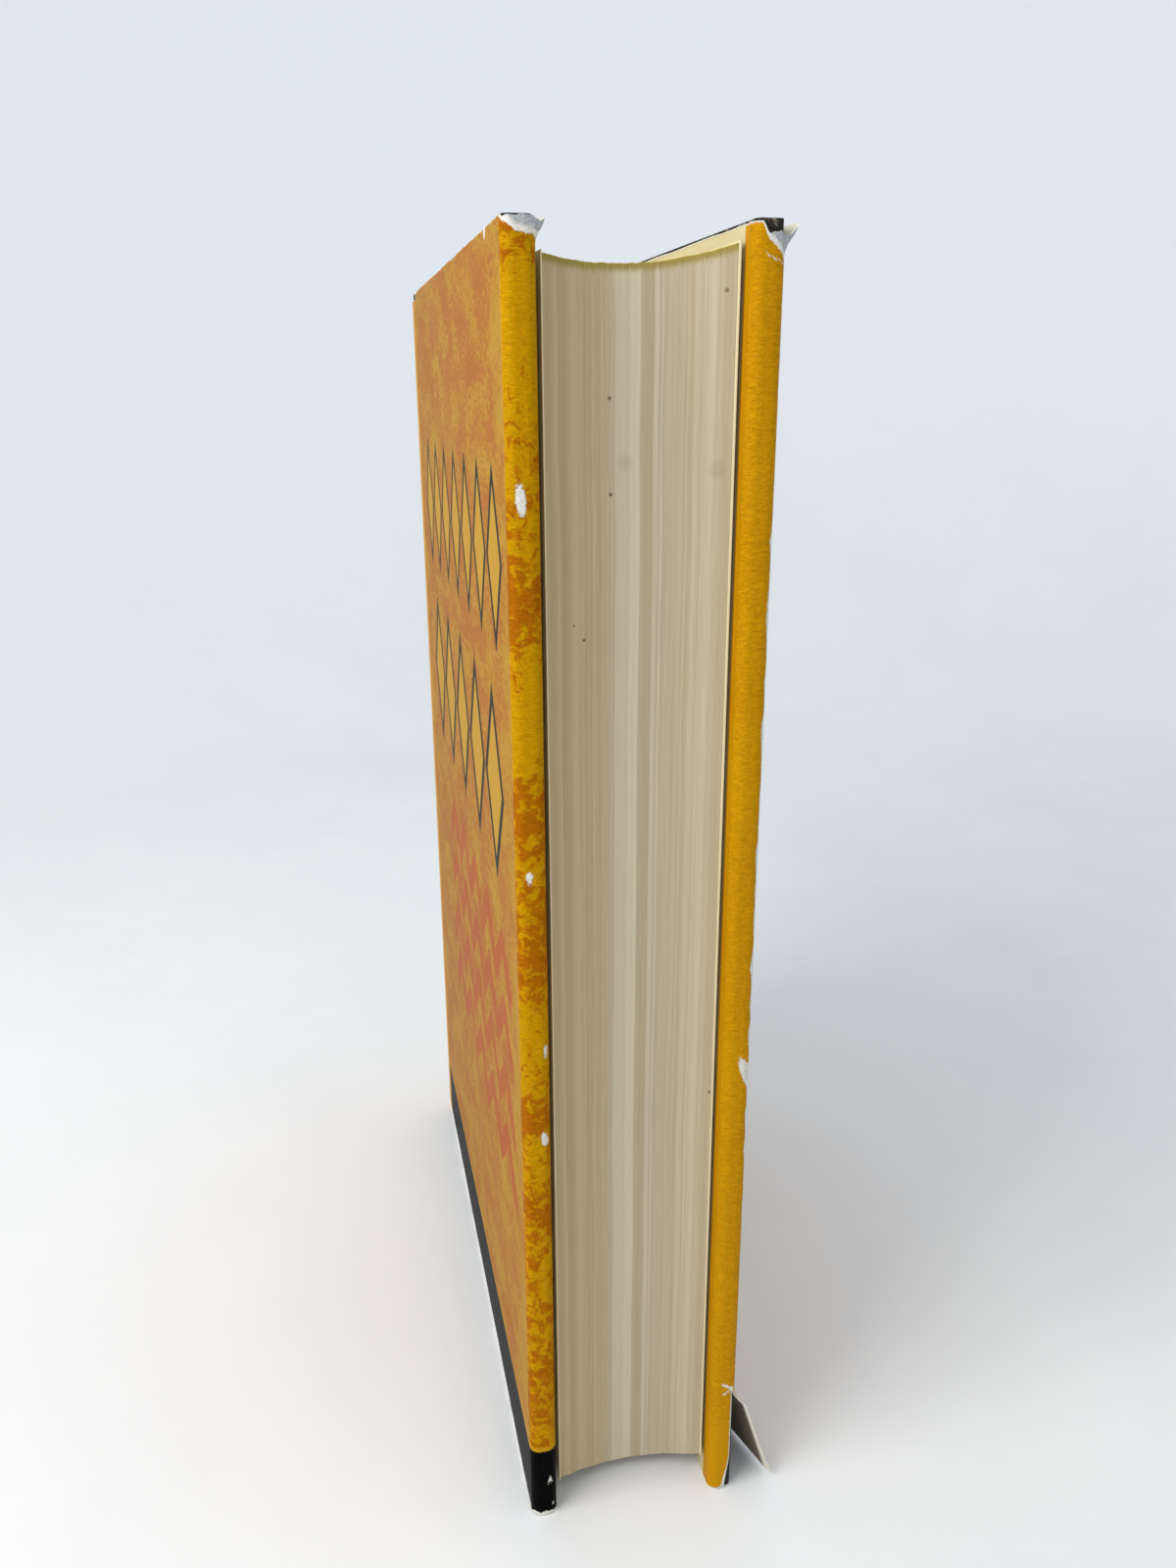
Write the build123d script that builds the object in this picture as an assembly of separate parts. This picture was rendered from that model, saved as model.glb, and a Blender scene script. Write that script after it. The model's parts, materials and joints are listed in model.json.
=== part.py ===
from build123d import *
import math
import os

# Hardcover book in a worn paper dust jacket, standing closed on its tail. All sizes are in millimetres.
# +Z runs up the spine, the fore-edge faces -Y, the spine +Y, the front cover -X and the back cover +X.
# The origin is the centre of the book's footprint, on the surface that it stands on.
# Every cover piece is drawn as the front one and mirrored for the back.

# Boards of the case
cover_height = 222.0
board_width = 130.0
board_thickness = 3.1
board_edge_radius = 0.6

# Cloth over the boards and the spine
cloth_thickness = 0.4
cloth_corner_radius = 1.0
groove_corner_radius = 0.8
turn_in = 15.0
turn_in_stop = 1.0

# Paper and gauze
endpaper_thickness = 0.18
pastedown_margin = 3.0
flyleaf_lead = 0.6
mull_thickness = 0.3
mull_flange = 25.0
mull_margin = 20.0
lining_thickness = 0.25
inlay_thickness = 0.4

# Dust jacket
jacket_short = 0.4
jacket_thickness = 0.2
jacket_fold_radius = 1.8
jacket_flap = 85.0
jacket_spine_radius = 1.5

# Clearances between layers
glue_line = 0.05
jacket_slack = 0.1
jacket_edge_slack = 0.4
hollow_gap = 0.1
cover_gap = 0.35
relief_gap = 0.3
hinge_gap = 0.15
hinge_offset = 0.2

# Page block
block_thickness = 27.4
head_square = 3.2
tail_square = 4.9
fore_edge_setback = 3.7
fore_edge_hollow = 3.4
edge_sag = 0.2
middle_sag = 1.7

# Joint and spine
board_to_hinge = 3.95
hinge_to_shoulder = 1.5
shoulder_rise = 3.5
spine_round = 4.6

# Bands sewn at the two ends of the spine
band_bead_radius = 0.8
band_tape = 8.0
band_end_margin = 2.0

# Set that the book has taken with use
cocked = 2.0
front_splay = 0.6
back_splay = 0.35

# Tears and worn places of the jacket
tear_height = 24.0
tear_length = 25.0
tear_from_fold = 0.7
tear_bend = 32.0
head_tear_drop = 4.5
head_tear_depth = 6.0
worn_notch_depth = 0.8
worn_notch_radius = 6.0

# Cut solids reach this far past what they cut
overshoot = 1.0

# Depths of the layers, measured inwards from the jacket's outer face
cloth_out = jacket_thickness + jacket_slack
board_out = cloth_out + cloth_thickness + glue_line
board_in = board_out + board_thickness
turn_in_out = board_in + glue_line
cloth_in = turn_in_out + cloth_thickness
paste_out = cloth_in + glue_line
paste_in = paste_out + endpaper_thickness
flap_out = paste_in + jacket_slack
cover_stack = flap_out + jacket_thickness
groove_in = board_in - glue_line
groove_out = groove_in - cloth_thickness
half_thickness = cover_stack + cover_gap + block_thickness / 2

# Heights, and distances from the front cover's fore-edge fold
jacket_height = cover_height - jacket_short
block_head = cover_height - head_square
block_tail = tail_square
cloth_near = jacket_thickness + jacket_edge_slack
board_near = cloth_near + cloth_thickness + glue_line
board_far = board_near + board_width
hinge_line = board_far + board_to_hinge
shoulder_line = hinge_line + hinge_to_shoulder
shoulder_tip = shoulder_line + shoulder_rise
cover_end = hinge_line - hinge_gap
block_start = hinge_line + hinge_gap

# Distances of the spine's layers from the text block
mull_in = glue_line
lining_in = mull_in + mull_thickness + glue_line
lining_out = lining_in + lining_thickness
spine_turn_in = lining_out + hollow_gap
inlay_in = spine_turn_in + cloth_thickness + glue_line
inlay_out = inlay_in + inlay_thickness
spine_cloth_in = inlay_out + glue_line
spine_cloth_out = spine_cloth_in + cloth_thickness
jacket_spine_in = spine_cloth_out + jacket_slack

text_half = block_thickness / 2 - endpaper_thickness - glue_line
tip_half = half_thickness - cloth_out - spine_cloth_out
spine_apex = shoulder_tip + spine_round
spine_radius = (tip_half**2 + spine_round**2) / (2 * spine_round)
spine_centre = spine_apex - spine_radius
hinge_x = half_thickness + hinge_offset
band_half = tip_half - band_end_margin
trim_reach = half_thickness + spine_round


def x_at(depth):
    """The x of a layer of the front cover, from its depth below the jacket's outer face."""
    return depth - half_thickness


def outline(corners):
    """A closed outline from rows of x, y and corner radius."""
    face = make_face(Polyline(*[(x, y) for x, y, radius in corners], close=True))
    for x, y, radius in corners:
        if radius > 0:
            face = fillet(face.vertices().sort_by_distance((x, y, 0))[0], radius)
    return face


def rectangle(x_low, x_high, y_low, y_high):
    """A flat rectangle between two corners."""
    return outline([(x_low, y_low, 0), (x_high, y_low, 0), (x_high, y_high, 0), (x_low, y_high, 0)])


def upright(face, z_low, z_high):
    """A flat outline raised between two heights."""
    return extrude(face.moved(Location((0, 0, z_low))), z_high - z_low, dir=(0, 0, 1))


def splayed(piece, splay):
    """A front cover piece turned about its hinge, so that its fore-edge stands away from the pages."""
    hinge = Axis((-hinge_x, hinge_line, 0), (0, 0, 1))
    return piece.rotate(hinge, -math.degrees(math.atan(splay / hinge_line)))


def make_board(lead):
    """The binder's board, with slightly softened edges."""
    near = board_near - lead
    far = board_far - lead
    soft = board_edge_radius
    face = outline([
        (x_at(board_out), near, soft),
        (x_at(board_in), near, soft),
        (x_at(board_in), far, soft),
        (x_at(board_out), far, soft),
    ])
    return upright(face, cloth_thickness + glue_line, cover_height - cloth_thickness - glue_line)


def make_cover_cloth(lead):
    """The cloth over one board: it dips into the joint and is turned in over the other three edges."""
    near = cloth_near - lead
    far = board_far - lead
    wall = far + glue_line + cloth_thickness
    envelope = outline([
        (x_at(groove_out), cover_end, 0),
        (x_at(groove_out), wall, groove_corner_radius),
        (x_at(cloth_out), wall, cloth_corner_radius),
        (x_at(cloth_out), near, cloth_corner_radius),
        (x_at(cloth_in), near, cloth_corner_radius),
        (x_at(cloth_in), far - turn_in_stop, 0),
        (x_at(groove_in), far - turn_in_stop, 0),
        (x_at(groove_in), cover_end, 0),
    ])
    inner_radius = cloth_corner_radius - cloth_thickness
    cavity = outline([
        (x_at(board_out - glue_line), near + cloth_thickness, inner_radius),
        (x_at(turn_in_out), near + cloth_thickness, inner_radius),
        (x_at(turn_in_out), far + glue_line, 0),
        (x_at(board_out - glue_line), far + glue_line, 0),
    ])
    window = rectangle(x_at(board_in), x_at(cloth_in + overshoot), near + turn_in, far + overshoot)
    cloth = upright(envelope, 0, cover_height)
    cloth -= upright(cavity, cloth_thickness, cover_height - cloth_thickness)
    cloth -= upright(window, turn_in, cover_height - turn_in)
    return cloth


def make_mull_flange(lead):
    """The strip of gauze that ties the page block to one board, under the pastedown."""
    near = board_far - lead - mull_flange
    face = rectangle(x_at(turn_in_out), x_at(turn_in_out + mull_thickness), near, cover_end)
    return upright(face, mull_margin, cover_height - mull_margin)


def make_pastedown(lead):
    """The endpaper's half that is pasted over the turn-ins, and sinks between them onto the board."""
    near = cloth_near - lead
    sunk_near = near + turn_in + relief_gap
    sunk_far = board_far - lead - mull_flange - relief_gap
    sunk_low = turn_in + relief_gap
    sunk_high = cover_height - sunk_low
    wall = endpaper_thickness
    middle = (paste_out + paste_in) / 2
    sheet = rectangle(x_at(paste_out), x_at(paste_in), near + pastedown_margin, cover_end)
    tray = rectangle(x_at(turn_in_out), x_at(middle), sunk_near, sunk_far)
    hollow = rectangle(x_at(turn_in_out + wall), x_at(paste_in + overshoot), sunk_near + wall, sunk_far - wall)
    pastedown = upright(sheet, pastedown_margin, cover_height - pastedown_margin)
    pastedown += upright(tray, sunk_low, sunk_high)
    pastedown -= upright(hollow, sunk_low + wall, sunk_high - wall)
    return pastedown


def make_jacket_side(lead):
    """One side of the jacket: its panel, the round fold over the board's fore-edge and the flap inside."""
    path = FilletPolyline(
        (x_at(0), cover_end),
        (x_at(0), -lead),
        (x_at(cover_stack), -lead),
        (x_at(cover_stack), jacket_flap - lead),
        radius=jacket_fold_radius,
    )
    sheet = make_face(offset(path, amount=jacket_thickness, side=Side.LEFT, closed=True))
    return upright(sheet, 0, jacket_height)


def wear_front_head(jacket):
    """The front fold's crushed head: a shallow scoop across the fold."""
    centre = (x_at(cover_stack / 2), 0, jacket_height + worn_notch_radius - worn_notch_depth)
    scoop = Plane(origin=centre, z_dir=(1, 0, 0)) * Cylinder(worn_notch_radius, cover_stack + 2 * overshoot)
    return jacket - scoop


def tear_back_head(jacket, lead):
    """The back fold's lost corner: the paper is gone above a slope that falls towards the outer edge."""
    low = jacket_height - head_tear_drop
    slope = head_tear_drop / cover_stack
    corner = Plane(origin=(0, head_tear_depth - lead, 0), x_dir=(1, 0, 0), z_dir=(0, -1, 0)) * make_face(Polyline(
        (x_at(-overshoot), low - slope * overshoot),
        (x_at(cover_stack + overshoot), jacket_height + slope * overshoot),
        (x_at(-overshoot), jacket_height + slope * overshoot),
        close=True,
    ))
    return jacket - extrude(corner, head_tear_depth + overshoot, dir=(0, -1, 0))


def tear_back_tail(jacket, lead):
    """The back panel's torn lower corner, bent outwards about a slanting crease and still attached."""
    near = tear_from_fold - lead
    far = tear_length - lead
    corner_plane = Plane(origin=(x_at(jacket_thickness), 0, 0), x_dir=(0, 1, 0), z_dir=(1, 0, 0))
    triangle = corner_plane * make_face(Polyline((near, 0), (far, 0), (near, tear_height), close=True))
    crease = Axis((x_at(jacket_thickness), far, 0), (0, near - far, tear_height))
    lost = extrude(triangle, jacket_fold_radius, dir=(1, 0, 0)) + extrude(triangle, overshoot, dir=(-1, 0, 0))
    bent = extrude(triangle, jacket_thickness, dir=(-1, 0, 0)).rotate(crease, -tear_bend)
    return jacket - lost + bent


def page_limits():
    """The space between head and tail that the pages fill: level at the spine, sagging at the fore-edge."""
    reach = half_thickness
    spread = (reach / text_half) ** 2
    rise = middle_sag * spread - middle_sag - edge_sag
    dip = middle_sag + edge_sag
    sagging = Plane(origin=(0, -cocked, 0), x_dir=(1, 0, 0), z_dir=(0, -1, 0)) * make_face([
        ThreePointArc((-reach, block_tail + rise), (0, block_tail - dip), (reach, block_tail + rise)),
        Line((reach, block_tail + rise), (reach, block_head + rise)),
        ThreePointArc((reach, block_head + rise), (0, block_head - dip), (-reach, block_head + rise)),
        Line((-reach, block_head + rise), (-reach, block_tail + rise)),
    ])
    level = Plane(origin=(0, shoulder_line, 0), x_dir=(1, 0, 0), z_dir=(0, -1, 0)) * make_face(Polyline(
        (-reach, block_tail), (reach, block_tail), (reach, block_head), (-reach, block_head), close=True
    ))
    return loft([sagging, level], ruled=True) + extrude(level, spine_round + trim_reach, dir=(0, 1, 0))


def make_text_block():
    """The sewn pages: hollow fore-edge, straight sides, shoulders backed over the boards and a round spine."""
    left = fore_edge_setback
    right = fore_edge_setback - cocked
    middle = (left + right) / 2 + fore_edge_hollow
    plan = make_face([
        ThreePointArc((-text_half, left), (0, middle), (text_half, right)),
        Line((text_half, right), (text_half, shoulder_line)),
        Line((text_half, shoulder_line), (tip_half, shoulder_tip)),
        ThreePointArc((tip_half, shoulder_tip), (0, spine_apex), (-tip_half, shoulder_tip)),
        Line((-tip_half, shoulder_tip), (-text_half, shoulder_line)),
        Line((-text_half, shoulder_line), (-text_half, left)),
    ])
    return upright(plan, -trim_reach, cover_height + trim_reach) & page_limits()


def make_flyleaf(lead):
    """The free half of one endpaper, against the page block."""
    x_far = -block_thickness / 2
    near = fore_edge_setback - flyleaf_lead - lead
    return upright(rectangle(x_far, x_far + endpaper_thickness, near, shoulder_line), block_tail, block_head)


def spine_core():
    """The backed part of the page block in plan, which every layer of the spine follows."""
    return make_face([
        Line((-text_half, shoulder_line), (text_half, shoulder_line)),
        Line((text_half, shoulder_line), (tip_half, shoulder_tip)),
        ThreePointArc((tip_half, shoulder_tip), (0, spine_apex), (-tip_half, shoulder_tip)),
        Line((-tip_half, shoulder_tip), (-text_half, shoulder_line)),
    ])


def spine_band(inner, outer, half_width):
    """A curved strip of the spine between two distances from the page block."""
    ring = offset(spine_core(), amount=outer) - offset(spine_core(), amount=inner)
    return ring & rectangle(-half_width, half_width, shoulder_tip, spine_apex + trim_reach)


def joint_band(distance, joint_half, thickness):
    """A strip that rounds the spine, follows the shoulders and ends in the joints, at the hinge lines."""
    joint = rectangle(-joint_half, joint_half, shoulder_line - trim_reach, shoulder_line + glue_line)
    inner = offset(spine_core(), amount=distance) + joint
    band = offset(inner, amount=thickness) - inner
    return band & rectangle(-trim_reach, trim_reach, block_start, spine_apex + trim_reach)


def make_mull():
    """The gauze glued round the back of the page block, from joint to joint."""
    joint_half = half_thickness - turn_in_out - mull_thickness
    return upright(joint_band(mull_in, joint_half, mull_thickness), mull_margin, cover_height - mull_margin)


def make_spine_lining():
    """The strip of strong paper over the gauze, between the two sewn bands."""
    strip = spine_band(lining_in, lining_out, band_half)
    return upright(strip, block_tail + band_tape + relief_gap, block_head - band_tape - relief_gap)


def make_band(edge, outward):
    """A sewn band: a tape glued to the spine, with its bead over the edge of the pages."""
    bead_z = edge + outward * (band_bead_radius + glue_line)
    bead_radius = spine_radius + lining_out - band_bead_radius
    half_angle = math.degrees(math.asin(band_half / bead_radius))
    section = Plane(origin=(bead_radius, spine_centre, bead_z), x_dir=(1, 0, 0), z_dir=(0, -1, 0))
    spine_axis = Axis((0, spine_centre, 0), (0, 0, 1))
    bead = revolve(section * Circle(band_bead_radius), axis=spine_axis, revolution_arc=2 * half_angle)
    bead = bead.rotate(spine_axis, 90 - half_angle)
    low, high = sorted((bead_z, edge - outward * band_tape))
    return bead + upright(spine_band(lining_in, lining_out, band_half), low, high)


def make_spine_inlay():
    """The flexible card that stiffens the spine of the case."""
    strip = spine_band(inlay_in, inlay_out, tip_half)
    return upright(strip, cloth_thickness + glue_line, cover_height - cloth_thickness - glue_line)


def make_spine_cloth():
    """The cloth of the spine: round the inlay, into both joints, and turned in at head and tail."""
    joint_half = half_thickness - groove_in
    cloth = upright(joint_band(spine_cloth_in, joint_half, cloth_thickness), 0, cover_height)
    hem = spine_band(spine_turn_in, spine_cloth_in + glue_line, tip_half)
    cloth += upright(hem, 0, turn_in)
    cloth += upright(hem, cover_height - turn_in, cover_height)
    pocket = spine_band(inlay_in - glue_line, spine_cloth_in, tip_half + overshoot)
    return cloth - upright(pocket, cloth_thickness, cover_height - cloth_thickness)


def make_jacket_spine():
    """The jacket round the spine, flat over both joints."""
    disc = Pos(0, spine_centre) * Circle(spine_radius + jacket_spine_in)
    inner_half = half_thickness - jacket_thickness
    inner = disc & rectangle(-inner_half, inner_half, shoulder_line - trim_reach, spine_apex + trim_reach)
    corners = inner.vertices().sort_by(Axis.Y)[-2:]
    inner = fillet(corners, jacket_spine_radius)
    band = offset(inner, amount=jacket_thickness) - inner
    band = band & rectangle(-trim_reach, trim_reach, block_start, spine_apex + trim_reach)
    return upright(band, 0, jacket_height)


def make_book():
    """All the pieces of the book by name, with the front cover's fore-edge fold at y = 0."""
    pieces = {}
    for side, lead, splay in (("front", 0.0, front_splay), ("back", cocked, back_splay)):
        jacket = make_jacket_side(lead)
        if side == "front":
            jacket = wear_front_head(jacket)
        else:
            jacket = tear_back_tail(tear_back_head(jacket, lead), lead)
        half = {
            f"{side}_board": splayed(make_board(lead), splay),
            f"{side}_cover_cloth": splayed(make_cover_cloth(lead), splay),
            f"{side}_mull_flange": splayed(make_mull_flange(lead), splay),
            f"{side}_pastedown": splayed(make_pastedown(lead), splay),
            f"{side}_flyleaf": make_flyleaf(lead),
            f"jacket_{side}": splayed(jacket, splay),
        }
        for name, piece in half.items():
            pieces[name] = piece if side == "front" else mirror(piece, about=Plane.YZ)
    pieces["text_block"] = make_text_block()
    pieces["mull"] = make_mull()
    pieces["spine_lining"] = make_spine_lining()
    pieces["head_band"] = make_band(block_head, 1)
    pieces["tail_band"] = make_band(block_tail, -1)
    pieces["spine_inlay"] = make_spine_inlay()
    pieces["spine_cloth"] = make_spine_cloth()
    pieces["jacket_spine"] = make_jacket_spine()
    return pieces


def main():
    """Write each piece to its own file, centred over the book's footprint."""
    os.makedirs("parts", exist_ok=True)
    pieces = make_book()
    centre = Compound(pieces.values()).bounding_box().center()
    for name, piece in pieces.items():
        export_step(Pos(-centre.X, -centre.Y, 0) * piece, f"parts/{name}.step")


main()
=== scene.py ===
import json
import math

import bpy
import numpy as np
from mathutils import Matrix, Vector


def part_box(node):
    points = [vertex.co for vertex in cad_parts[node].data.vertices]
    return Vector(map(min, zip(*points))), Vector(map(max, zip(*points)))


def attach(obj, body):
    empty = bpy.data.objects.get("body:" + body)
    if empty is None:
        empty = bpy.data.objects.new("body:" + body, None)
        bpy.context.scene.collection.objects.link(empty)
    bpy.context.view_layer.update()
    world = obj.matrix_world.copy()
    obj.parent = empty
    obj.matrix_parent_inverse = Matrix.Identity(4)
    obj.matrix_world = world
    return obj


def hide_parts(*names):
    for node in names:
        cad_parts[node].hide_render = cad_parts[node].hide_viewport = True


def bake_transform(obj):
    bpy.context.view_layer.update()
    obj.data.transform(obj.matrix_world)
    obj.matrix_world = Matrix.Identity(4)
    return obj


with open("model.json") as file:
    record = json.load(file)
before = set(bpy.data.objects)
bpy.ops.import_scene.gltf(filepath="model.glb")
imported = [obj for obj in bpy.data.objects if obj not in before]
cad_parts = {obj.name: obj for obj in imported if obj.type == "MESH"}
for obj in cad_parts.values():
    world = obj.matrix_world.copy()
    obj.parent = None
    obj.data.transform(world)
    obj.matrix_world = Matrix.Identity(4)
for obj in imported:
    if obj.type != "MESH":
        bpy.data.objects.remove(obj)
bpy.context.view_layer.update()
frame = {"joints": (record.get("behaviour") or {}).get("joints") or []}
bpy.ops.object.select_all(action="DESELECT")

# A hardcover book in a worn paper jacket, standing on its tail, seen from its fore-edge.
# Sizes are in millimetres until MM turns them to metres. Heights are above the floor.
MM = 0.001

# The jacket: its paper, its round spine, its fore-edge folds, the flaps inside them, and how far the
# covers stand away from the pages
paper = 0.2
spine_radius = 34.35
spine_corner = 1.7
fold_radius = 1.8
cover_stack = 4.83
flap_width = 85.0
front_splay = 0.6
back_splay = 0.35

# The jacket's worn edges: how far the front's frayed head stands above the rest, and how far from an
# edge its wear fades out. Each fold's frayed head opens between two fading ends across the sheet, down
# to a depth, and moves towards +X and +Y
head_rise = 0.35
wear_margin = 14.0
head_flares = {
    -1: ((-3.6, -5.4), (-8.5, -6.0), 3.0, (1.2, -0.5)),
    1: ((0.2, 1.4), (7.0, 3.0), 4.2, (1.8, -0.6)),
}

# The print, across from the corner of the fold and up from the tail. A band of lozenges has its count,
# pitch, start, middle and half height, and its outline and its filling end at shares of a lozenge. The
# chevrons zigzag with a half width, a half step and a gap. Last come the foot, the line over it, the
# panel's end at the spine, the middle of the fold, and the end of all print on the flap
lozenge_bands = ((7, 17.0, 6.0, 176.0, 15.0), (5, 22.0, 10.5, 138.0, 18.0))
lozenge_line = 0.97
lozenge_fill = 0.74
chevron_start = 9.0
chevron_end = 99.0
chevron_low = 65.0
chevron_high = 117.0
chevron_half_width = 9.0
chevron_half_step = 6.5
chevron_gap = 3.4
foot_height = 15.4
foot_line_height = 16.1
panel_end = 135.0
fold_middle = -2.0
flap_print = -7.3

# The back panel's torn corner: its slit, which strays into the fold near the tail, the crease that the
# corner is bent about, how far it is bent out in degrees, and the height over which it curls and opens
slit_height = 24.0
slit_at = -0.45
slit_gap = 0.05
slit_stray = 1.0
stray_height = 9.0
stray_reach = 5.0
tear_length = 24.3
tear_bend = 24.0
tear_curl = 4.0
tear_opening = 6.0

# The endpapers: their paper, their gap to the pages, where the pastedown's face and edges lie, how far
# short of the hinge it stops, and the step round its middle, sunk inside the cloth's turned-in edges
endpaper = 0.18
endpaper_gap = 0.05
paste_depth = 4.53
pastedown_margin = 3.0
pastedown_stop = 3.0
turn_in = 15.0
sunk_depth = 0.35
sunk_step = 1.5

# The joints: the cloth in the groove, and the stretch of sheet that bends at each hinge
cloth = 0.3
groove_depth = 3.05
groove_width = 2.6

# The pages: the hollow of their fore-edge, the sag of their middle, how much lower the front leaves hang
# than the back ones, their shoulders and round spine, the width of a column of the mesh, how far apart
# single leaves stand out, and how far the leaves end inside the flyleaves
hollow = 3.4
edge_sag = 0.2
middle_sag = 1.7
page_lean = 0.75
text_half = 13.47
shoulder_depth = 3.5
shoulder_to_apex = 8.1
leaf_bundle = 0.25
leaf_step = 0.3
leaf_inset = 0.1

# The pages' marks: brown spots of age and larger faint stains, with their place through the leaves and
# above the floor, their radius and their strength. The paler and the browner gathering have their start
# and end through the leaves, their colour and their strength, and fade over the same width
age_spots = (
    (-3.5, 199.2, 0.35, 0.8), (-3.3, 185.9, 0.35, 0.9), (-7.5, 164.8, 0.3, 0.9), (-9.1, 167.1, 0.25, 0.7),
    (13.3, 86.0, 0.4, 0.8), (12.2, 213.3, 0.4, 0.7), (-1.1, 190.2, 1.5, 0.16), (11.6, 189.3, 1.6, 0.14),
)
toned_gatherings = ((-2.35, 1.35, "#D2C7AA", 0.55), (1.35, 3.25, "#A08C66", 0.4))
gathering_fade = 0.3

# The camera: its place, its heading from +Y towards +X, its pitch and roll in degrees, and its lens
camera_place = (-49.9, -237.26, 200.36)
camera_heading = 12.74
camera_pitch = 18.45
camera_roll = 0.26
lens_pixels = 1206.0
image_height = 1600
sensor_size = 36.0

# Places in the frame
spine_low, spine_high = (np.array(corner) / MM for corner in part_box("jacket_spine"))
fold_line = {-1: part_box("jacket_front")[0][1] / MM, 1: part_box("jacket_back")[0][1] / MM}
gauze_line = {-1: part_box("front_mull_flange")[0][1] / MM, 1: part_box("back_mull_flange")[0][1] / MM}
pages_low, pages_high = (np.array(corner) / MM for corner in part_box("text_block"))
paste_low, paste_high = (np.array(corner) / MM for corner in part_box("front_pastedown"))
leaf_low, leaf_high = (np.array(corner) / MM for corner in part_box("front_flyleaf"))
middle_x = (spine_low[0] + spine_high[0]) / 2
half_thickness = (spine_high[0] - spine_low[0]) / 2
jacket_height = spine_high[2]
fold_arc = math.pi / 4 * fold_radius
cover_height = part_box("front_cover_cloth")[1][2] / MM
hinge_y = frame["joints"][0]["pos_m"][1] / MM


# Tools for meshes

def points(piece):
    """The places of a mesh's vertices, in millimetres."""
    flat = np.empty(3 * len(piece.data.vertices))
    piece.data.vertices.foreach_get("co", flat)
    return flat.reshape(-1, 3) / MM


def place(piece, where):
    """Moves a mesh's vertices to places in millimetres."""
    piece.data.vertices.foreach_set("co", (where * MM).ravel())
    piece.data.update()


def stations(start, *stretches):
    """Places along a line: each stretch runs on to its end, in even steps near its size."""
    places = [start]
    for end, step in stretches:
        count = max(1, round(abs(end - places[-1]) / step))
        places.extend(np.linspace(places[-1], end, count + 1)[1:])
    return np.array(places)


def ragged(places, step, size, seed):
    """A smooth random offset at each place, seeded, with bumps about a step apart."""
    knots = np.arange(np.min(places) - step, np.max(places) + 2 * step, step)
    heights = np.random.default_rng(seed).normal(0, size, len(knots))
    return np.interp(places, knots, heights)


def smooth(low, high, value):
    """0 before low, 1 after high and a smooth step between."""
    share = np.clip((value - low) / (high - low), 0, 1)
    return share * share * (3 - 2 * share)


def only(piece):
    """Makes a piece the one that is selected and active."""
    bpy.ops.object.select_all(action="DESELECT")
    piece.select_set(True)
    bpy.context.view_layer.objects.active = piece


def apply(piece, name, kind, **settings):
    """Adds one modifier to a piece and applies it."""
    only(piece)
    modifier = piece.modifiers.new(name, kind)
    for setting, value in settings.items():
        setattr(modifier, setting, value)
    bpy.ops.object.modifier_apply(modifier=name)


def store(piece, name, values):
    """Stores a number or a vector at each vertex, for the piece's material."""
    values = np.asarray(values, np.float32)
    kind, field = ("FLOAT", "value") if values.ndim == 1 else ("FLOAT_VECTOR", "vector")
    piece.data.attributes.new(name, kind, "POINT").data.foreach_set(field, values.ravel())


def stored(piece, name):
    """The vectors stored at a piece's vertices."""
    flat = np.empty(3 * len(piece.data.vertices), np.float32)
    piece.data.attributes[name].data.foreach_get("vector", flat)
    return flat.reshape(-1, 3)


def cut_sheet(name, along, up):
    """A flat sheet standing in the XZ plane, with columns and rows of vertices at the given places."""
    bpy.ops.mesh.primitive_grid_add(
        x_subdivisions=len(along) - 1, y_subdivisions=len(up) - 1, size=1, rotation=(math.pi / 2, 0, 0)
    )
    bpy.ops.object.transform_apply()
    sheet = bpy.context.object
    sheet.name = name

    # The new grid runs from -0.5 to 0.5 both ways
    at = points(sheet) * MM
    at[:, 0] = np.interp(at[:, 0], np.linspace(-0.5, 0.5, len(along)), along)
    at[:, 2] = np.interp(at[:, 2], np.linspace(-0.5, 0.5, len(up)), up)
    place(sheet, at)
    return sheet


def delete_faces(piece, is_lost):
    """Deletes the faces that a test picks from their middles' x and z, in millimetres."""
    middles = np.array([face.center for face in piece.data.polygons]) / MM
    only(piece)
    bpy.ops.object.mode_set(mode="EDIT")
    bpy.ops.mesh.select_all(action="DESELECT")
    bpy.ops.mesh.select_mode(type="FACE")
    bpy.ops.object.mode_set(mode="OBJECT")
    piece.data.polygons.foreach_set("select", is_lost(middles[:, 0], middles[:, 2]))
    bpy.ops.object.mode_set(mode="EDIT")
    bpy.ops.mesh.delete(type="FACE")
    bpy.ops.object.mode_set(mode="OBJECT")


def turn_over(piece):
    """Turns a sheet's faces to its other side."""
    only(piece)
    bpy.ops.object.mode_set(mode="EDIT")
    bpy.ops.mesh.select_all(action="SELECT")
    bpy.ops.mesh.flip_normals()
    bpy.ops.object.mode_set(mode="OBJECT")


def arc(centre, radius, start, end, side, step=4):
    """Points along an arc, whose degrees are turned from +Y towards the side, without its first point."""
    count = max(2, round(abs(end - start) / step))
    angles = np.radians(np.linspace(start, end, count + 1)[1:])
    return np.stack([centre[0] + side * radius * np.sin(angles), centre[1] + radius * np.cos(angles)], 1)


def route(*legs):
    """The points of an outline made of legs, and the distance along it at which each leg ends."""
    outline = np.concatenate([np.atleast_2d(leg) for leg in legs])
    distance = np.concatenate([[0], np.cumsum(np.hypot(*np.diff(outline, axis=0).T))])
    ends = np.cumsum([len(np.atleast_2d(leg)) for leg in legs]) - 1
    return outline, distance[ends]


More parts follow.
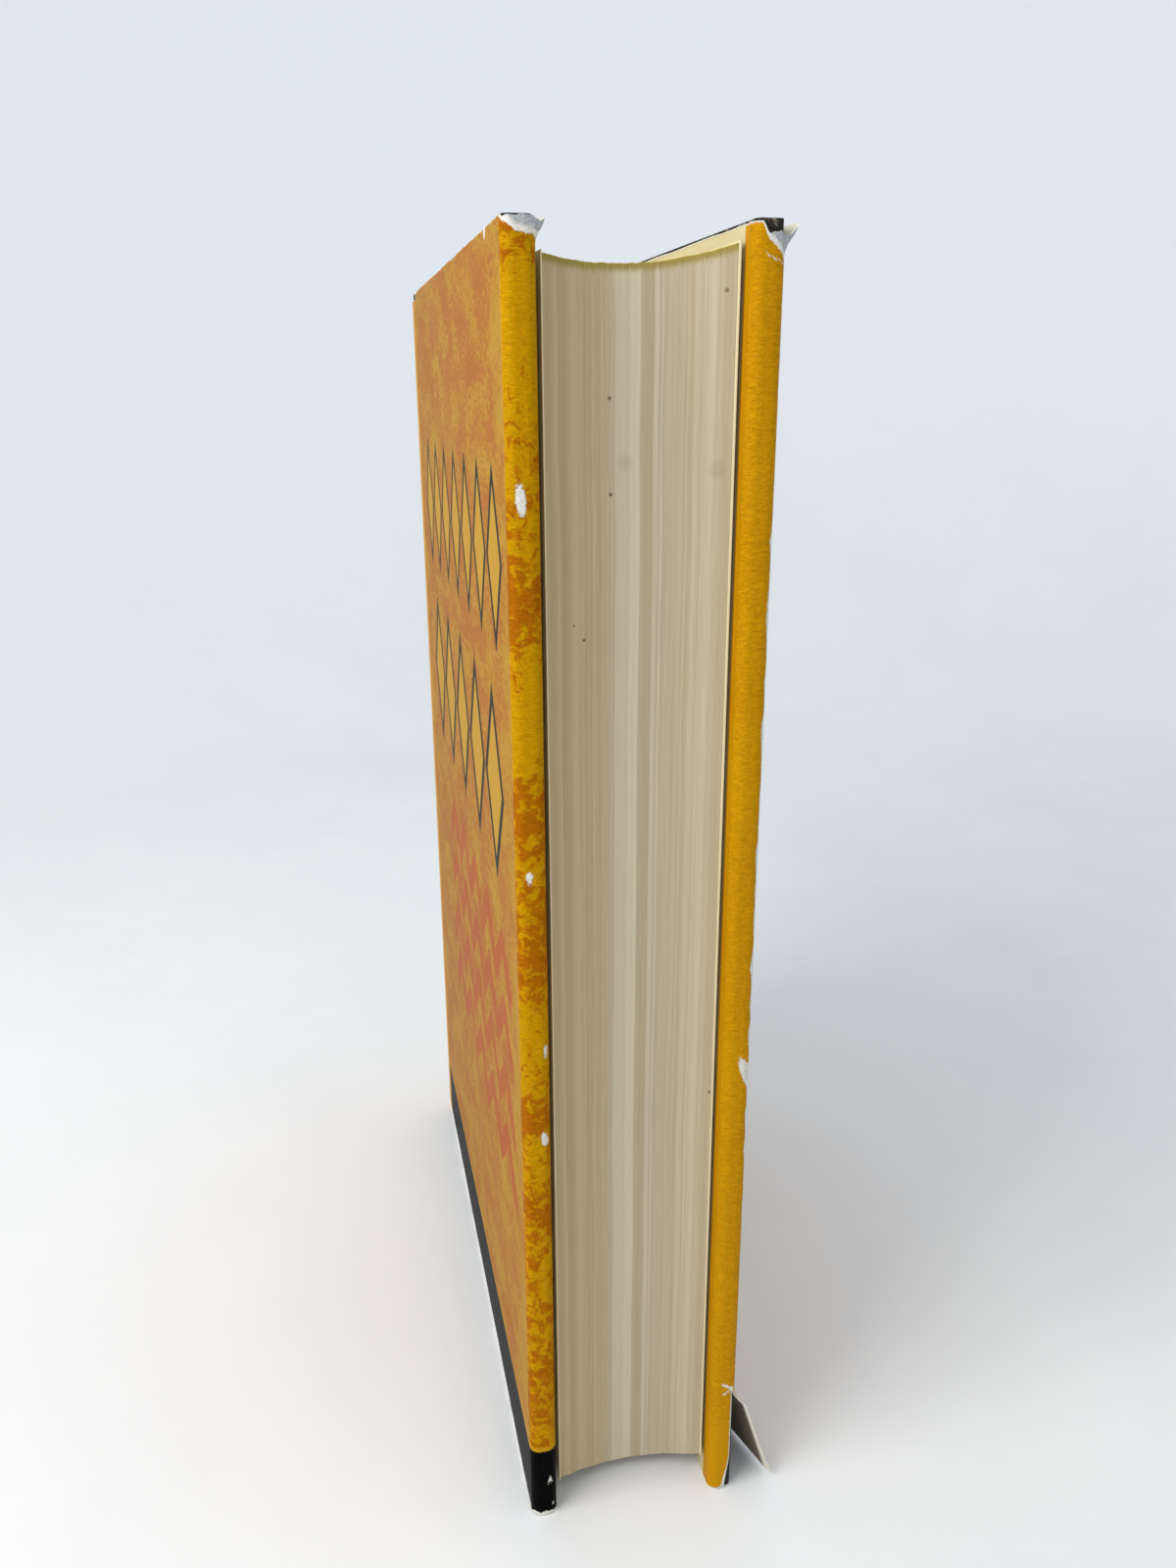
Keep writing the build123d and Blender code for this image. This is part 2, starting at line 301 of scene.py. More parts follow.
def turned(outline, pivot, degrees):
    """Points in plan, turned about a pivot."""
    turn = math.radians(degrees)
    matrix = np.array([[math.cos(turn), -math.sin(turn)], [math.sin(turn), math.cos(turn)]])
    return (np.atleast_2d(outline) - pivot) @ matrix.T + pivot


def splayed(outline, side):
    """The plan of a cover's sheet, turned about its hinge as far as the cover stands away from the pages."""
    splay = front_splay if side < 0 else back_splay
    pivot = np.array([middle_x + side * half_thickness, hinge_y])
    return turned(outline, pivot, side * math.degrees(math.atan(splay / (hinge_y - fold_line[side]))))


def wrap(piece, outline):
    """Bends a flat sheet round an outline in plan, with a Curve modifier."""
    curve = bpy.data.curves.new("outline", "CURVE")
    curve.dimensions = "2D"
    spline = curve.splines.new("POLY")
    spline.points.add(len(outline) - 1)
    for point, (x, y) in zip(spline.points, outline * MM):
        point.co = (x, y, 0, 1)
    guide = bpy.data.objects.new("outline", curve)
    bpy.context.scene.collection.objects.link(guide)
    apply(piece, "wrap", "CURVE", object=guide, deform_axis="POS_X")
    bpy.data.objects.remove(guide)


def finish_sheet(piece, side, thickness, outline, finishes):
    """Gives a flat sheet its thickness and the finishes of its face and back, and wraps it in place."""
    if side > 0:
        turn_over(piece)
    for finish in finishes:
        piece.data.materials.append(finish)
    apply(piece, "thickness", "SOLIDIFY", thickness=thickness * MM, offset=-1,
          material_offset=len(finishes) - 1, material_offset_rim=len(finishes) - 1)
    wrap(piece, outline)
    bpy.ops.object.shade_smooth_by_angle(angle=math.radians(40))


# Tools for materials

def colour(code):
    """A linear colour from an sRGB hex value."""
    parts = [int(code[i:i + 2], 16) / 255 for i in (1, 3, 5)]
    return tuple(p / 12.92 if p <= 0.04045 else ((p + 0.055) / 1.055) ** 2.4 for p in parts) + (1,)


def node(tree, kind, *values, out=0, **named):
    """Adds a node: values fill its inputs in order, capital names are inputs, the rest are settings."""
    made = tree.nodes.new("ShaderNode" + kind)
    for name, value in named.items():
        if name[0].islower():
            setattr(made, name, value)
    inputs = dict(enumerate(values)) | {n.replace("_", " "): v for n, v in named.items() if n[0].isupper()}
    for name, value in inputs.items():
        if isinstance(value, bpy.types.NodeSocket):
            tree.links.new(value, made.inputs[name])
        elif value is not None:
            made.inputs[name].default_value = value
    return made.outputs[out] if made.outputs else made


def material(name):
    """An empty material and its node tree."""
    made = bpy.data.materials.new(name)
    made.use_nodes = True
    made.node_tree.nodes.clear()
    return made, made.node_tree


def between(tree, value, low, high):
    """1 where a value lies between two limits, and 0 elsewhere."""
    above = node(tree, "Math", value, low, operation="GREATER_THAN")
    below = node(tree, "Math", value, high, operation="LESS_THAN")
    return node(tree, "Math", above, below, operation="MULTIPLY")


def surface(tree, base, roughness, height=None, distance=0.0001, strength=1.0, **named):
    """Closes a material with its shader and its bump."""
    bump = None
    if height is not None:
        bump = node(tree, "Bump", Height=height, Distance=distance, Strength=strength)
    shader = node(tree, "BsdfPrincipled", Base_Color=base, Roughness=roughness, Normal=bump, **named)
    node(tree, "OutputMaterial", shader)


# The jacket's papers

def printed_paper(name, front):
    """Coated printing paper: its clay has a soft sheen, and its white fibres show where it is rubbed."""
    made, tree = material(name)
    flat = node(tree, "Attribute", attribute_name="flat", out="Vector")
    bare = node(tree, "Attribute", attribute_name="bare", out="Fac")
    across, up = (node(tree, "SeparateXYZ", flat, out=axis) for axis in "XY")

    # Torn fibres are drawn 0.4 mm wide, coarser than the real 0.05 mm, so that they show
    fibre = node(tree, "TexNoise", Vector=flat, Scale=2.2, Detail=5.0, Roughness=0.75)
    fray = node(tree, "MapRange", fibre, 0.25, 0.75, -0.32, 0.32)
    is_bare = node(tree, "MapRange", node(tree, "Math", bare, fray, operation="ADD"), -0.05, 0.07, 1.0, 0.0)

    # The ink is a little uneven, and darker where hands have soiled it
    soil = node(tree, "TexNoise", Vector=flat, Scale=0.06, Detail=4.0, Roughness=0.6)
    ink = node(tree, "MixRGB", soil, colour("#C9930A"), colour("#BA7E08"))
    if front:
        ink = front_print(tree, flat, across, up, ink)
    scuff = node(tree, "TexNoise", Vector=flat, Scale=1.1, Detail=6.0, Roughness=0.8)
    ink = node(tree, "MixRGB", node(tree, "MapRange", scuff, 0.7, 0.78, 0.0, 0.35), ink, colour("#E9D9A8"))

    # The bent paper of the fold is crossed by fine creases, about 0.4 mm apart, whose painted shade and
    # painted highlights darken and lighten the ink in lines
    crossways = node(tree, "VectorMath", flat, (0.3, 1.0, 1.0), operation="MULTIPLY")
    crease = node(tree, "TexNoise", Vector=crossways, Scale=2.6, Detail=2.0, Roughness=0.6, Distortion=1.2)
    from_fold = node(tree, "Math", across, fold_middle, operation="SUBTRACT")
    from_fold = node(tree, "Math", from_fold, operation="ABSOLUTE")
    on_fold = node(tree, "MapRange", from_fold, 3.2, 4.2, 1.0, 0.0)
    above_foot = node(tree, "MapRange", up, 14.0, 18.0, 0.25, 1.0)
    creased = node(tree, "Math", on_fold, above_foot, operation="MULTIPLY")
    # Painted shade and painted highlight of the creases, multiplied into the ink
    shade = node(tree, "MapRange", crease, 0.35, 0.65, 0.82, 1.1)
    ink = node(tree, "MixRGB", creased, ink, node(tree, "MixRGB", 1.0, ink, shade, blend_type="MULTIPLY"))

    # The print runs 2 mm on to the flap, and the rest of the flap is bare stock
    on_flap = node(tree, "MapRange", across, flap_print - 0.2, flap_print, 1.0, 0.0)
    ink = node(tree, "MixRGB", on_flap, ink, node(tree, "MixRGB", soil, colour("#DBCFA8"), colour("#CDBF93")))

    # Torn fibres are white at the rim of a bare place, and its middle is painted greyer, as painted shade of
    # the torn hollow
    rim_share = node(tree, "MapRange", fibre, 0.3, 0.7, 0.0, 1.0)
    rim = node(tree, "MixRGB", rim_share, colour("#C9C3B2"), colour("#F8F5EE"))
    shaded_middle_share = node(tree, "MapRange", fibre, 0.35, 0.65, 0.0, 1.0)
    shaded_middle = node(tree, "MixRGB", shaded_middle_share, colour("#8E9193"), colour("#C9CCCD"))
    torn = node(tree, "MixRGB", node(tree, "MapRange", bare, -1.2, -0.6, 1.0, 0.0), rim, shaded_middle)
    base = node(tree, "MixRGB", is_bare, ink, torn)
    roughness = node(tree, "MapRange", is_bare, 0.0, 1.0, 0.4, 0.95)

    # Its relief is the grain of the paper, the creases of the fold and the torn fibres
    grain = node(tree, "TexNoise", Vector=flat, Scale=1.6, Detail=2.0, Roughness=0.5)
    relief = node(tree, "Math", grain, 0.35, operation="MULTIPLY")
    for height, where, rise in ((crease, creased, 2.8), (fibre, is_bare, 2.5)):
        there = node(tree, "Math", height, where, operation="MULTIPLY")
        relief = node(tree, "Math", there, rise, relief, operation="MULTIPLY_ADD")
    surface(tree, base, roughness, relief, 0.0002, 0.5, Specular_IOR_Level=0.012)
    return made


def front_print(tree, flat, across, up, plain):
    """The front's print: a sponged ground, bands of plain lozenges, chevrons and a dark foot."""
    # Sponged mottles 1 to 3 mm across on the fold, fewer of them below its head
    blotch = node(tree, "TexNoise", Vector=flat, Scale=0.55, Detail=7.0, Roughness=0.7, Distortion=0.7)
    drift = node(tree, "TexNoise", Vector=flat, Scale=0.055, Detail=1.0)
    level = node(tree, "Math", drift, 0.6, blotch, operation="MULTIPLY_ADD")
    for low, high, change in ((184.0, 194.0, -0.1), (211.0, 217.0, 0.1)):
        more = node(tree, "MapRange", up, low, high, 0.0, change)
        level = node(tree, "Math", level, more, operation="ADD")
    dab = node(tree, "MapRange", level, 0.76, 0.85, 0.0, 0.9)
    fold_ground = node(tree, "MixRGB", dab, colour("#BE8B05"), colour("#A45905"))

    # Mottles 8 to 15 mm wide on the panel, stippled 1 mm fine, and yellower beside the fold
    spread = node(tree, "VectorMath", flat, (0.5, 1.0, 1.0), operation="MULTIPLY")
    patch = node(tree, "TexNoise", Vector=spread, Scale=0.13, Detail=4.0, Roughness=0.6, Distortion=0.5)
    stipple = node(tree, "TexNoise", Vector=spread, Scale=1.0, Detail=4.0, Roughness=0.8)
    speckle = node(tree, "Math", stipple, 0.85, node(tree, "Math", patch, 0.6, operation="MULTIPLY"),
                   operation="MULTIPLY_ADD")
    yellower = node(tree, "MapRange", across, 2.0, 14.0, 0.09, 0.0)
    speckle = node(tree, "Math", speckle, yellower, operation="SUBTRACT")
    panel_dab = node(tree, "MapRange", speckle, 0.63, 0.78, 0.0, 1.0)
    panel_ground = node(tree, "MixRGB", panel_dab, colour("#AB8017"), colour("#9E5C12"))
    on_panel = node(tree, "MapRange", across, 1.2, 2.2, 0.0, 1.0)
    ground = node(tree, "MixRGB", on_panel, fold_ground, panel_ground)

    # Tall lozenges, ochre with dark green outlines, each band a whole number of lozenges long
    for count, pitch, start, centre, half_height in lozenge_bands:
        along = node(tree, "Math", across, start - pitch / 2, operation="SUBTRACT")
        sideways = node(tree, "Math", along, pitch / 2, operation="PINGPONG")
        upwards = node(tree, "Math", up, centre, operation="SUBTRACT")
        upwards = node(tree, "Math", upwards, operation="ABSOLUTE")
        upwards = node(tree, "Math", upwards, half_height, operation="DIVIDE")
        lozenge = node(tree, "Math", sideways, 2 / pitch, upwards, operation="MULTIPLY_ADD")
        in_band = between(tree, across, start, start + count * pitch)
        for limit, ink in ((lozenge_line, "#161D0E"), (lozenge_fill, "#B4881C")):
            inside = node(tree, "Math", lozenge, limit, operation="LESS_THAN")
            inside = node(tree, "Math", inside, in_band, operation="MULTIPLY")
            ground = node(tree, "MixRGB", inside, ground, colour(ink))

    # Red-brown chevrons below them, through which the ground shows a little
    zigzag = node(tree, "Math", across, chevron_half_width, operation="PINGPONG")
    zigzag = node(tree, "Math", zigzag, up, operation="ADD")
    chevron = node(tree, "Math", zigzag, chevron_half_step, operation="PINGPONG")
    chevron = node(tree, "Math", chevron, chevron_gap, operation="GREATER_THAN")
    for value, low, high in ((zigzag, chevron_low, chevron_high), (across, chevron_start, chevron_end)):
        chevron = node(tree, "Math", chevron, between(tree, value, low, high), operation="MULTIPLY")
    chevron = node(tree, "Math", chevron, 0.8, operation="MULTIPLY")
    ground = node(tree, "MixRGB", chevron, ground, colour("#A24817"))

    # The foot is dark, under a pale line, and the spine is plain
    for edge, fade, ink in ((foot_line_height, 0.4, "#C2931F"), (foot_height, 0.3, "#060607")):
        below = node(tree, "MapRange", up, edge, edge + fade, 1.0, 0.0)
        ground = node(tree, "MixRGB", below, ground, colour(ink))
    on_spine = node(tree, "MapRange", across, panel_end, panel_end + 0.5, 0.0, 1.0)
    return node(tree, "MixRGB", on_spine, ground, plain)


def bare_paper(name):
    """The jacket's uncoated back and its cut and torn edges: off-white fibres with no sheen."""
    made, tree = material(name)
    flat = node(tree, "Attribute", attribute_name="flat", out="Vector")
    fibre = node(tree, "TexNoise", Vector=flat, Scale=2.2, Detail=4.0, Roughness=0.7)
    base = node(tree, "MixRGB", fibre, colour("#D8D1BC"), colour("#F1ECDD"))

    # Painted shade: the back of the loose corner at the tail is painted dark brown, short of its torn edge,
    # for the shade between the corner and the cover
    across, up = (node(tree, "SeparateXYZ", flat, out=axis) for axis in "XY")
    inside = node(tree, "MapRange", across, 0.1, 0.9, 0.0, 1.0)
    low = node(tree, "MapRange", up, slit_height, slit_height + 2, 0.9, 0.0)
    painted_shade = node(tree, "Math", inside, low, operation="MULTIPLY")
    base = node(tree, "MixRGB", painted_shade, base, colour("#57482F"))
    surface(tree, base, 0.85, fibre, 0.00005, 0.5)
    return made


# The other papers, the cloth and the boards

def end_paper(name):
    """Smooth offset paper, toned to cream by age: even, matt and faintly mottled."""
    made, tree = material(name)
    where = node(tree, "TexCoord", out="Object")
    mottle = node(tree, "TexNoise", Vector=where, Scale=35.0, Detail=4.0)
    fibre = node(tree, "TexNoise", Vector=where, Scale=2500.0, Detail=2.0)
    base = node(tree, "MixRGB", mottle, colour("#E8DDBA"), colour("#DBCDA2"))
    surface(tree, base, 0.75, fibre, 0.00004, 0.4)
    return made


def trimmed_pages(name):
    """Uncoated book paper cut by a guillotine: fine leaf lines, bands of toned cream and a stained head."""
    made, tree = material(name)
    flat = node(tree, "Attribute", attribute_name="flat", out="Vector")
    through, up, below = (node(tree, "SeparateXYZ", flat, out=axis) for axis in "XYZ")

    # Leaves wander a little sideways, so that their lines aren't ruled
    wander = node(tree, "TexNoise", W=up, Scale=0.02, Detail=2.0, noise_dimensions="1D")
    leaf = node(tree, "Math", wander, 0.9, through, operation="MULTIPLY_ADD")
    bands = node(tree, "TexNoise", W=leaf, Scale=0.42, Detail=2.0, Roughness=0.55, noise_dimensions="1D")
    lines = node(tree, "TexNoise", W=leaf, Scale=3.4, Detail=4.0, Roughness=0.85, noise_dimensions="1D")
    along_leaf = node(tree, "CombineXYZ", leaf, node(tree, "Math", up, 0.01, operation="MULTIPLY"))
    broken = node(tree, "TexNoise", Vector=along_leaf, Scale=3.2, Detail=3.0, Roughness=0.8)

    # The front third of the leaves is browner than the rest
    tone = node(tree, "MapRange", bands, 0.35, 0.65, 0.0, 1.0)
    front_leaves = node(tree, "MixRGB", tone, colour("#B8A17A"), colour("#C8B38D"))
    back_leaves = node(tree, "MixRGB", tone, colour("#B7A687"), colour("#C7B99E"))
    base = node(tree, "MixRGB", node(tree, "MapRange", leaf, -4.5, -2.2, 0.0, 1.0), front_leaves, back_leaves)
    shade = node(tree, "MapRange", lines, 0.3, 0.72, 0.84, 1.05)
    patchy = node(tree, "MapRange", broken, 0.3, 0.7, 0.9, 1.04)
    for darker in (shade, patchy):
        base = node(tree, "MixRGB", 1.0, base, darker, blend_type="MULTIPLY")

    # One gathering is paler, and the one beside it is browner
    for start, end, hue, share in toned_gatherings:
        rise = node(tree, "MapRange", leaf, start, start + gathering_fade, 0.0, share)
        fall = node(tree, "MapRange", leaf, end, end + gathering_fade, 1.0, 0.0)
        base = node(tree, "MixRGB", node(tree, "Math", rise, fall, operation="MULTIPLY"), base, colour(hue))

    # Brown spots of age, and a few larger faint stains
    edge_place = node(tree, "CombineXYZ", through, up)
    for spot_x, spot_z, radius, share in age_spots:
        gap = node(tree, "VectorMath", edge_place, (spot_x, spot_z, 0), operation="DISTANCE", out="Value")
        mark = node(tree, "MapRange", gap, radius * 0.5, radius, share, 0.0)
        base = node(tree, "MixRGB", mark, base, colour("#5A4630"))

    # The head is stained yellow, and the dye has crept about 1 mm down the leaves
    creep = node(tree, "MapRange", lines, 0.3, 0.7, 0.6, 1.5)
    dyed = node(tree, "MapRange", node(tree, "Math", below, creep, operation="DIVIDE"), 0.55, 1.25, 0.9, 0.0)
    base = node(tree, "MixRGB", dyed, base, colour("#93802A"))
    head = node(tree, "MixRGB", bands, colour("#C9B443"), colour("#B39C33"))
    base = node(tree, "MixRGB", node(tree, "MapRange", below, 0.02, 0.12, 1.0, 0.0), base, head)
    surface(tree, base, 0.8, lines, 0.00012, 0.6)
    return made


def woven(name, dark, light, thread, height):
    """Plain weave, of starched cotton: matt, with a thread's relief."""
    made, tree = material(name)
    where = node(tree, "TexCoord", out="Object")
    x, y, z = (node(tree, "SeparateXYZ", where, out=axis) for axis in "XYZ")
    turns = math.pi / (thread * MM)
    warp, weft = (
        node(tree, "Math", node(tree, "Math", run, turns, operation="MULTIPLY"), operation="SINE")
        for run in (node(tree, "Math", x, y, operation="ADD"), z)
    )
    weave = node(tree, "MapRange", node(tree, "Math", warp, weft, operation="MULTIPLY"), -1.0, 1.0, 0.0, 1.0)
    slub = node(tree, "TexNoise", Vector=where, Scale=900.0, Detail=3.0)
    share = node(tree, "Math", weave, slub, operation="MULTIPLY")
    base = node(tree, "MixRGB", share, colour(dark), colour(light))

    # Threads along the head are rubbed pale and dusty
    streak = node(tree, "TexNoise", Vector=where, Scale=420.0, Detail=4.0, Roughness=0.7, Distortion=1.0)
    near_head = node(tree, "MapRange", z, (cover_height - 3) * MM, (cover_height - 0.5) * MM, 0.0, 1.0)
    rubbed = node(tree, "Math", node(tree, "MapRange", streak, 0.52, 0.62, 0.0, 0.6), near_head,
                  operation="MULTIPLY")
    base = node(tree, "MixRGB", rubbed, base, colour("#A79B86"))
    surface(tree, base, 0.8, node(tree, "Math", weave, slub, operation="ADD"), height * MM, 0.7,
            Specular_IOR_Level=0.25)
    return made


def pulp(name, dark, light, size, roughness):
    """Pressed or rolled pulp: matt, with flecks and a faint lay of fibres."""
    made, tree = material(name)
    where = node(tree, "TexCoord", out="Object")
    fleck = node(tree, "TexNoise", Vector=where, Scale=1 / (size * MM), Detail=5.0, Roughness=0.7)
    share = node(tree, "MapRange", fleck, 0.35, 0.65, 0.0, 1.0)
    base = node(tree, "MixRGB", share, colour(dark), colour(light))
    surface(tree, base, roughness, fleck, 0.00008, 0.6)
    return made


def band_cotton(name):
    """Sewn cotton of two colours: threads 1.2 mm apart that lie side by side across the bead."""
    made, tree = material(name)
    where = node(tree, "TexCoord", out="Object")
    x = node(tree, "SeparateXYZ", where, out="X")
    half_thread = 0.6 * MM
    thread = node(tree, "Math", x, half_thread, operation="PINGPONG")
    thread = node(tree, "Math", thread, half_thread, operation="DIVIDE")
    stripe = node(tree, "Math", x, 4 * half_thread, operation="PINGPONG")
    stripe = node(tree, "Math", stripe, 2 * half_thread, operation="GREATER_THAN")
    base = node(tree, "MixRGB", stripe, colour("#D3AE3A"), colour("#EBE2CC"))
    surface(tree, base, 0.6, thread, 0.0002, 0.8)
    return made


# The jacket: one sheet on the real book, made as two halves that meet down the middle of the spine

def jacket_outline(side):
    """The outer face of half the jacket in plan: spine, joint, panel, fore-edge fold and flap."""
    fold_y = fold_line[side]
    centre_y = spine_high[1] - spine_radius
    inner_radius = spine_radius - spine_corner
    corner_y = centre_y + math.sqrt(inner_radius ** 2 - (half_thickness - spine_corner) ** 2)
    meet = math.degrees(math.asin((half_thickness - spine_corner) / inner_radius))
    outer_x = middle_x + side * half_thickness
    inner_x = outer_x - side * cover_stack
    cover = (
        [(outer_x, fold_y + fold_radius)],
        arc((outer_x - side * fold_radius, fold_y + fold_radius), fold_radius, 90, 180, side),
        [(inner_x + side * fold_radius, fold_y)],
        arc((inner_x + side * fold_radius, fold_y + fold_radius), fold_radius, 180, 270, side),
        [(inner_x, fold_y + flap_width)],
    )
    return route(
        [(middle_x, spine_high[1])],
        arc((middle_x, centre_y), spine_radius, 0, meet, side),
        arc((outer_x - side * spine_corner, corner_y), spine_corner, meet, 90, side),
        [(outer_x, hinge_y)],
        *[splayed(leg, side) for leg in cover],
    )


def chip(across, up, centre, size, lean):
    """The distance in millimetres from the rim of an oval chip, negative inside it."""
    sideways = across - centre[0] - lean * (up - centre[1])
    return (np.hypot(sideways / size[0], (up - centre[1]) / size[1]) - 1) * min(size)


def line_wear(across, up, start, end, width):
    """The distance from the rim of a worn line between two points of the sheet."""
    along = np.array(end) - start
    share = np.clip(((across - start[0]) * along[0] + (up - start[1]) * along[1]) / (along @ along), 0, 1)
    return np.hypot(across - start[0] - share * along[0], up - start[1] - share * along[1]) - width


def slit_line(up):
    """Where the slit lies across the sheet at a height."""
    return slit_at - slit_stray * smooth(stray_height, 0, up)


def wear_front(across, up):
    """How far the front's head and foot are worn away, and the distance from its bare places."""
    # The head stands up between a notch in the panel and one in the fold, and is lower beside the spine
    head = np.abs(ragged(across, 1.3, 0.14, 3)) - head_rise + 0.35 * np.exp(-((across - 0.3) / 0.5) ** 2)
    head += 0.8 * np.exp(-((across + 4.7) / 0.5) ** 2) + 1.5 * smooth(128, 133, across)
    foot = np.abs(ragged(across, 0.7, 0.12, 4)) + 0.5 * smooth(-1.5, 2.5, across) * smooth(9.0, 4.0, across)

    # Bare places: a scoop at the head of the fold, the rim of the foot, a nick above it, and chips, each
    # with its middle, its half sizes and its lean
    scoop = jacket_height - up - 0.1 - 2.1 * smooth(1.6, -2.8, across) * smooth(-8.0, -5.8, across)
    rim = up - 0.35 - 0.5 * smooth(5.0, 1.0, np.abs(across + 1.0)) - ragged(across, 0.5, 0.2, 9)
    nick = 0.35 * np.maximum(3.0 * np.abs(across + 3.1) + up - 9.5, 7.8 - up)
    chips = (
        ((-1.5, 185.9), (0.75, 2.2), 0.1),
        ((-1.6, 129.4), (0.6, 1.1), 0.0),
        ((-3.8, 98.8), (0.45, 1.2), 0.0),
        ((-3.3, 82.4), (0.8, 1.3), 0.2),
        ((-3.7, 2.4), (0.2, 0.4), 0.0),
        ((14.5, 221.0), (0.9, 0.9), 0.0),
    )
    return head, foot, np.minimum.reduce([scoop, rim, nick] + [chip(across, up, *each) for each in chips])


def wear_back(across, up):
    """How far the back's head and foot are worn away, and the distance from its bare places."""
    # The head is torn down at its corner, and the foot at the slit
    corner = smooth(-3.4, -2.4, across) * smooth(1.6, 0.8, across)
    head = np.abs(ragged(across, 1.3, 0.12, 5)) + (1.5 + ragged(across, 0.6, 0.2, 8)) * corner
    foot = np.abs(ragged(across, 0.7, 0.12, 6)) + 0.4 * np.exp(-((across - slit_at) / 1.0) ** 2)

    # Bare places: the torn head, the foot, the rubbed line of the fold and one long chip on it, two
    # creases at the head, two from the top of the slit, and the slit's edges
    torn = jacket_height - up - 0.2 - 3.9 * smooth(-3.9, 1.6, across) * smooth(8.0, 4.0, across)
    slit = np.abs(across - slit_at) - 0.25 - 0.4 * smooth(6.0, 0.0, up)
    rubbed = 0.6 * smooth(45.0, 85.0, up) * smooth(195.0, 170.0, up)
    worn = (
        torn,
        up - 0.3,
        np.abs(across - 0.7) - 0.1 - rubbed - ragged(up, 2.3, 0.3, 7),
        chip(across, up, (-0.2, 90.8), (1.1, 3.6), -0.4),
        line_wear(across, up, (-2.6, 218.6), (-1.0, 217.7), 0.1),
        line_wear(across, up, (-1.0, 217.7), (0.8, 217.2), 0.1),
        line_wear(across, up, (slit_at - 2.0, slit_height + 1.3), (slit_at, slit_height), 0.25),
        line_wear(across, up, (slit_at - 1.8, slit_height - 1.0), (slit_at, slit_height), 0.2),
        np.maximum(slit, up - slit_height),
    )
    return head, foot, np.minimum.reduce(worn)


def bend_corner(piece, side):
    """Flattens the torn corner's share of the fold, and bends the corner out about its slanting crease."""
    across, up = stored(piece, "flat")[:, :2].T
    at = points(piece)
    face_x = middle_x + side * (half_thickness + back_splay)
    centre = np.array([face_x - side * fold_radius, fold_line[side] + fold_radius])
    crease_top = np.array([face_x, centre[1], slit_height])
    crease = np.array([0, tear_length, -slit_height])
    crease = crease / np.linalg.norm(crease)
    from_crease = (slit_height - up) * crease[1] + across * crease[2]
    loose = (across > slit_line(up)) & (across < tear_length) & (from_crease > 0) & (up < slit_height)

    radius = np.hypot(*(at[:, :2] - centre).T)
    flattened = np.stack([centre[0] + side * radius, centre[1] + across - fold_arc, at[:, 2]], 1)
    opened = smooth(slit_height, slit_height - tear_opening, up) * loose * (across < fold_arc)
    at += opened[:, None] * (flattened - at)

    angle = math.radians(tear_bend) * smooth(0, tear_curl, from_crease) * loose
    arm = at - crease_top
    axis = np.broadcast_to(-side * crease, arm.shape)
    sine = np.sin(angle)[:, None]
    cosine = np.cos(angle)[:, None]
    along = (arm * axis).sum(1)[:, None]
    at = crease_top + arm * cosine + np.cross(axis, arm) * sine + axis * along * (1 - cosine)
    at[:, 2] = np.maximum(at[:, 2], 0)
    place(piece, at)


def flare_head(piece, side):
    """Opens the frayed head of a fold away from the cover, on one side of it."""
    one_end, other_end, depth, shift = head_flares[side]
    across, up = stored(piece, "flat")[:, :2].T
    share = smooth(*one_end, across) * smooth(*other_end, across) * smooth(depth, 0.0, jacket_height - up)
    at = points(piece)
    at[:, :2] += share[:, None] * shift
    place(piece, at)


def make_jacket_half(name, side, finishes):
    """Half of the jacket: cut flat, worn at its edges, given its thickness and wrapped round the case."""
    outline, ends = jacket_outline(side)
    spine_end, hinge_at, fold_at, fold_end, flap_end = ends[[1, 3, 4, 7, 8]]
    corner_at = fold_at + fold_arc
    cut_at = corner_at - slit_at
    along = stations(0, (spine_end, 1.5), (hinge_at - 2, 0.6), (hinge_at + 2, 0.3), (fold_at - 26, 4),
                     (fold_at - 5, 1.2), (cut_at - slit_gap / 2, 0.35), (cut_at + slit_gap / 2, 1),
                     (fold_end + 1, 0.35), (fold_end + 6, 1.2), (flap_end, 5))
    up = stations(0, (3, 0.35), (slit_height - 2, 0.9), (slit_height + 2, 0.35), (34, 1.1),
                  (jacket_height - 12, 1.6), (jacket_height - 6, 0.7), (jacket_height, 0.3))
    sheet = cut_sheet(name, along, up)
    if side > 0:
        delete_faces(sheet, lambda x, z: (np.abs(x - cut_at) < slit_gap / 2) & (z < slit_height))
    at = points(sheet)
    across, height = corner_at - at[:, 0], at[:, 2].copy()
    head, foot, bare = (wear_front if side < 0 else wear_back)(across, height)
    low = height < wear_margin
    at[low, 2] = foot[low] + height[low] * (wear_margin - foot[low]) / wear_margin
    high = height > jacket_height - wear_margin
    above = (height - jacket_height + wear_margin)[high]
    at[high, 2] = jacket_height - wear_margin + above * (wear_margin - head[high]) / wear_margin
    if side > 0:
        near_slit = smooth(stray_reach, 0, np.abs(across - slit_at))
        across += near_slit * (slit_line(at[:, 2]) - slit_at)
        at[:, 0] = corner_at - across

    # The paper's material goes by the place on the flat sheet, across from the corner and up
    store(sheet, "flat", np.stack([across, at[:, 2], 0 * across], 1))
    store(sheet, "bare", bare)
    place(sheet, at)
    finish_sheet(sheet, side, paper, outline, finishes)
    if side > 0:
        bend_corner(sheet, side)
    flare_head(sheet, side)
    return sheet


# The endpapers: each is one sheet, pasted to the cover, folded in the joint and free against the pages

def endpaper_planes(side):
    """Where the faces of an endpaper's free half and of its pasted half lie across the book."""
    leaf_x = middle_x + side * (text_half + endpaper_gap + endpaper)
    paste_x = middle_x + side * (half_thickness - paste_depth)
    return leaf_x, paste_x


